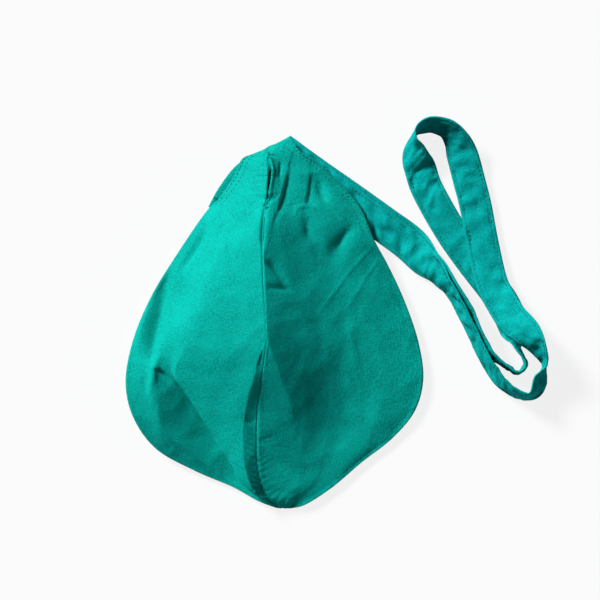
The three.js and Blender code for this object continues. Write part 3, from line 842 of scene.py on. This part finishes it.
def make_rear_hem(side, rim):
    """The doubled edge along a rear rim, folded in and stitched."""
    inward = right_of(rim)
    inward *= -np.sign(inward[:, 1].mean())
    grid = np.array([[[*(r + i * w), h] for w, h in REAR_HEM_SECTION] for r, i in zip(rim, inward)])
    piece = cloth_object(side + "_rear_edge", grid, CLOTH, cotton, CUT_AT["rear_hem"])
    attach(piece, "bag")
    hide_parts(side + "_rear_hem")
    line = grid[:, REAR_STITCH_COLUMN]
    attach(stitch_object(side + "_rear_stitches", [(line, all_facing((0, 0, 1), line))]), "bag")


left_rear_rim = make_rear("left", left_rows, left_fold, LEFT_REAR_RIM, -1)
right_rear_rim = make_rear("right", right_rows, right_fold, RIGHT_REAR_RIM, 1)
make_rear_hem("left", left_rear_rim[LEFT_HEMMED])
make_rear_hem("right", right_rear_rim[RIGHT_HEMMED])

ALLOWANCE_TOP = 1.6
ALLOWANCE_STEPS, ALLOWANCE_COLUMNS = 12, 6
SWAY, SWAY_SIZE, SWAY_SEED = 0.8, 18, 47


def make_front_seam():
    """The seam allowance that stands inside under the ridge."""
    line = spline(SEAM[:-2], [ALLOWANCE_STEPS] * (len(SEAM) - 3))
    depths = np.linspace(0, FRONT_SEAM_DEPTH, ALLOWANCE_COLUMNS)
    sway = SWAY * ripple(line, SWAY_SIZE, SWAY_SEED)
    grid = np.array([[[x + s * d / FRONT_SEAM_DEPTH, y, z - ALLOWANCE_TOP - d] for d in depths]
                     for (x, y, z), s in zip(line, sway)])
    piece = cloth_object("front_seam_allowance", grid, CLOTH, cotton, CUT_AT["front_seam"])
    open_with_mouth(piece)
    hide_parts("front_seam")


# Half of the rear seam's section from its edge: distance from the middle and height.
FELLED_HALF = [(REAR_SEAM_HALF + 1.2, 1.3), (REAR_SEAM_HALF + 0.6, 1.7), (3, 1.8)]
FELLED_MIDDLE = (0, 1.85)
FELLED_ROWS = 90
FELLED_THICKNESS = 1.5
PUCKER, PUCKER_LENGTH = 0.1, 4
FELLED_STITCH, FELLED_STITCH_LEVEL = 4.6, 0.28


def make_rear_seam():
    """The flat felled seam under the bag, with its two rows of stitches underneath."""
    bottom, top = -120, 150
    y = np.linspace(bottom, top, FELLED_ROWS)
    section = [(-x, z) for x, z in FELLED_HALF] + [FELLED_MIDDLE] + FELLED_HALF[::-1]
    grid = np.array([[[x, b, z + PUCKER * math.sin(b / PUCKER_LENGTH)] for x, z in section] for b in y])
    piece = cloth_object("rear_seam_strip", grid, FELLED_THICKNESS, cotton, CUT_AT["rear_seam"])
    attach(piece, "bag")
    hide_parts("rear_seam")
    lines = []
    for offset in (-FELLED_STITCH, FELLED_STITCH):
        line = np.column_stack([np.full(len(y), offset), y, np.full(len(y), FELLED_STITCH_LEVEL)])
        lines.append((line, all_facing((0, 0, -1), line)))
    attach(stitch_object("rear_seam_stitches", lines), "bag")


# The fold at the bottom tip: upper and lower edge in plan, and heights from one to the other.
TIP_UPPER = [[-9, -119], [0, -119.5], [10, -119.5], [20, -121]]
TIP_LOWER = [[-8, -121.5], [1, -125.6], [8, -126.2], [20, -124]]
TIP_HEIGHTS = [1.9, 2.0, 2.0, 1.7, 1.3]
TIP_STEPS = [8, 8, 8]


def make_bottom_tip():
    """The doubled cloth that closes the bottom, where both seams end."""
    shares = np.linspace(0, 1, len(TIP_HEIGHTS))
    edges = zip(spline(TIP_UPPER, TIP_STEPS), spline(TIP_LOWER, TIP_STEPS))
    grid = np.array([[[*(a + (b - a) * s), h] for s, h in zip(shares, TIP_HEIGHTS)] for a, b in edges])
    piece = cloth_object("bottom_fold", grid, CLOTH, cotton, CUT_AT["tip"])
    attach(piece, "bag")
    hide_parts("bottom_tip")


make_front_seam()
make_rear_seam()
make_bottom_tip()

# The anchor patch: its directions in plan, half its length, and its section as place across and height.
ANCHOR_ALONG = np.array([0.813, -0.582])
ANCHOR_ACROSS = np.array([0.582, 0.813])
ANCHOR_HALF, ANCHOR_ROWS = 11, 12
ANCHOR_SECTION = [(-12.4, 2.4), (-12.1, 2.9), (-8, 3.05), (-4, 3.1), (0, 3.1),
                  (4, 3.1), (8, 3.05), (12.1, 2.9), (12.4, 2.4)]
BOX_HALF, BOX_LEVEL, BOX_STEPS = 9, 3.05, 12

# The boxed cross, corner by corner as it is sewn.
BOXED_CROSS = [(-1, -1), (1, -1), (1, 1), (-1, 1), (-1, -1), (1, 1), (-1, 1), (1, -1)]


def make_anchor():
    """The strap's sewn end inside the mouth, a folded patch with a boxed cross of stitches."""
    low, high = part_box("strap_anchor")
    centre = np.array((low + high) / 2)[:2] / MM
    grid = np.array([[[*(centre + ANCHOR_ALONG * u + ANCHOR_ACROSS * v), z] for v, z in ANCHOR_SECTION]
                     for u in np.linspace(-ANCHOR_HALF, ANCHOR_HALF, ANCHOR_ROWS)])
    piece = cloth_object("strap_anchor_patch", grid, CLOTH, strap_cotton, CUT_AT["anchor"])
    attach(piece, "bag")
    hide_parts("strap_anchor")
    corners = [centre + BOX_HALF * (ANCHOR_ALONG * u + ANCHOR_ACROSS * v) for u, v in BOXED_CROSS]
    lines = []
    for start, end in zip(corners[:-1], corners[1:]):
        plan = np.linspace(start, end, BOX_STEPS)
        line = np.column_stack([plan, np.full(len(plan), BOX_LEVEL)])
        lines.append((line, all_facing((0, 0, 1), line)))
    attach(stitch_object("anchor_stitches", lines, length=2.0, pitch=2.8, radius=0.25), "bag")


make_anchor()


# Strap

STRAP_STEPS = 10
ROLL_SPACING = 30
STITCH_DENT = 0.62
FLAT_EDGE = 4

# Crumples of the strap: size along it, size across it and place in the noise; the second kind slants.
CRUMPLE = (9, 12, 4.0)
SLANTED_CRUMPLE = (5, 12, 8.0)
SLANTED_SHARE = 0.6

# Height of the crumples at the lower sewn end, and what the loop and the last of its way back add.
END_CRUMPLE, LOOP_CRUMPLE, BACK_CRUMPLE = 0.3, 2.1, 0.9
LOOP_FROM, LOOP_FULL = 140, 230
BACK_FROM, BACK_FULL = 260, 150


def strap_frames():
    """Centre, across and face directions along the strap."""
    route = np.array(STRAP_ROUTE, float)
    steps = [STRAP_STEPS] * (len(route) - 1)
    centre = spline(route[:, :3], steps)
    places = np.arange(len(route)) * ROLL_SPACING
    rolls = np.radians(spline(np.column_stack([places, route[:, 3]]), steps)[:, 1])
    tangent = unit(np.gradient(centre, axis=0))
    left = unit(np.column_stack([-tangent[:, 1], tangent[:, 0], np.zeros(len(tangent))]))
    across = left * np.cos(rolls)[:, None]
    across[:, 2] = np.sin(rolls)
    return centre, across, unit(np.cross(tangent, across))


def strap_section():
    """The strap's section as distance from its middle and height: round edges, stitch rows drawn in."""
    half = STRAP_WIDTH / 2
    deep = STRAP_THICKNESS / 2
    row = half - STRAP_STITCH_INSET
    shape = [(half - 0.15, 0.35), (half - 0.7, 0.85), (half - 1.6, 1), (row + 0.5, 0.85),
             (row, STITCH_DENT), (row - 0.6, 0.9), (row - 2, 1.05), (row - 4.5, 1.1), (row - 7, 1.1),
             (0.8, 1.1)]
    top = [(w, h * deep) for w, h in shape]
    upper = top + [(-w, h) for w, h in reversed(top)]
    return np.array(upper + [(-half, 0)] + [(w, -h) for w, h in reversed(upper)] + [(half, 0)])


def strap_crumple(s, w):
    """How the strap's cloth waves at this length and distance from its middle."""
    length, width, place = CRUMPLE
    straight = noise.noise(Vector((s / length, w / width, place)))
    length, width, place = SLANTED_CRUMPLE
    slanted = noise.noise(Vector(((s + w) / length, (s - w) / width, place)))
    return straight + SLANTED_SHARE * slanted


def make_strap():
    """The band along its route, crumpled where it lies loose, and its four rows of stitches."""
    centre, across, face = strap_frames()
    section = strap_section()
    length = run_length(centre, 0)
    wave = np.array([[strap_crumple(s, w) for w in section[:, 0]] for s in length])
    inside = np.clip(1 - (np.abs(section[:, 0]) / (STRAP_WIDTH / 2))**FLAT_EDGE, 0, 1)
    rise = END_CRUMPLE + LOOP_CRUMPLE * smooth(LOOP_FROM, LOOP_FULL, length)
    rise += BACK_CRUMPLE * smooth(BACK_FROM, BACK_FULL, length[-1] - length)
    shift = rise[:, None] * wave * inside
    points = (centre[:, None] + across[:, None] * section[None, :, :1]
              + face[:, None] * (section[None, :, 1] + shift)[..., None])
    points[..., 2] = np.maximum(points[..., 2], 0)
    rows, columns = points.shape[:2]
    cloth = np.stack([np.broadcast_to(section[:, 0], (rows, columns)),
                      np.broadcast_to(length[:, None], (rows, columns))], -1).reshape(-1, 2) * MM
    obj = make_object("strap_band", points.reshape(-1, 3), tube_faces(rows, columns), strap_cotton, cloth)
    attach(obj, "strap")
    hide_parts("strap")
    lines = []
    offset = STRAP_WIDTH / 2 - STRAP_STITCH_INSET
    for place in (-offset, offset):
        for way in (1, -1):
            line = centre + across * place + face * (way * STITCH_DENT * STRAP_THICKNESS / 2)
            lines.append((line, face * way))
    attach(stitch_object("strap_stitches", lines, length=2.4, pitch=3.4, radius=0.34), "strap")


make_strap()


# Stage, light and camera, in metres

FLOOR_REACH, FLOOR_LEVEL = 3.0, -0.0002
FLOOR_COLOUR = (0.86, 0.86, 0.86, 1)
FLOOR_WHITE = 0.85
ROOM_LIGHT = 0.045
VIEW_WIDTH = 0.468
VIEW_CENTRE = (0.0195, 0.0351)
CAMERA_HEIGHT = 2.5


def background_rays(tree):
    """How much of a ray shows the background: all of one from the camera, a mirror or glass."""
    path = tree.nodes.new("ShaderNodeLightPath")
    seen = path.outputs["Is Camera Ray"]
    for kind in ("Is Glossy Ray", "Is Transmission Ray"):
        either = tree.nodes.new("ShaderNodeMath")
        either.operation = "MAXIMUM"
        tree.links.new(seen, either.inputs[0])
        tree.links.new(path.outputs[kind], either.inputs[1])
        seen = either.outputs[0]
    return seen


def make_floor():
    """A plain white floor that takes the bag's shadow."""
    signs = ((-1, -1), (1, -1), (1, 1), (-1, 1))
    corners = [(x * FLOOR_REACH, y * FLOOR_REACH, FLOOR_LEVEL) for x, y in signs]
    floor_mesh = bpy.data.meshes.new("floor")
    floor_mesh.from_pydata(corners, [], [(0, 1, 2, 3)])
    floor = add_to_scene("floor", floor_mesh)
    material, tree, shader = new_material("white_floor")
    link = tree.links.new
    tree.nodes.remove(shader)
    diffuse = tree.nodes.new("ShaderNodeBsdfDiffuse")
    diffuse.inputs["Color"].default_value = FLOOR_COLOUR
    glow = tree.nodes.new("ShaderNodeEmission")
    mix = tree.nodes.new("ShaderNodeMixShader")
    share = tree.nodes.new("ShaderNodeMath")
    share.operation = "MULTIPLY"
    share.inputs[1].default_value = FLOOR_WHITE
    link(background_rays(tree), share.inputs[0])
    link(share.outputs[0], mix.inputs[0])
    link(diffuse.outputs[0], mix.inputs[1])
    link(glow.outputs[0], mix.inputs[2])
    link(mix.outputs[0], tree.nodes["Material Output"].inputs["Surface"])
    floor_mesh.materials.append(material)


def make_room():
    """A white background that lights the bag only a little."""
    world = bpy.data.worlds.new("studio")
    bpy.context.scene.world = world
    world.use_nodes = True
    tree = world.node_tree
    background = tree.nodes["Background"]
    level = tree.nodes.new("ShaderNodeMapRange")
    level.inputs["To Min"].default_value = ROOM_LIGHT
    level.inputs["To Max"].default_value = 1
    tree.links.new(background_rays(tree), level.inputs["Value"])
    tree.links.new(level.outputs[0], background.inputs["Strength"])
    background.inputs["Color"].default_value = (1, 1, 1, 1)


def make_lamp(name, direction, energy, spread, colour=(1, 1, 1)):
    """A distant lamp that shines this way, with its spread in degrees."""
    light = bpy.data.lights.new(name, "SUN")
    light.energy = energy
    light.angle = math.radians(spread)
    light.color = colour
    lamp = add_to_scene(name, light)
    lamp.rotation_euler = Vector(direction).to_track_quat("-Z", "Y").to_euler()


def make_camera():
    """A camera straight above the bag and far from it."""
    camera = bpy.data.cameras.new("camera")
    camera.sensor_width = 36
    camera.lens = camera.sensor_width * CAMERA_HEIGHT / VIEW_WIDTH
    camera.clip_end = 20
    obj = add_to_scene("camera", camera)
    obj.location = (*VIEW_CENTRE, CAMERA_HEIGHT)
    bpy.context.scene.camera = obj


make_floor()
make_room()
make_lamp("key", direction=(0.60, -0.58, -0.53), energy=4.7, spread=14)
make_lamp("fill", direction=(-0.6, 0.6, -0.5), energy=0.2, spread=60, colour=(0.5, 0.78, 1.0))
make_camera()
bpy.context.scene.view_settings.view_transform = "Standard"
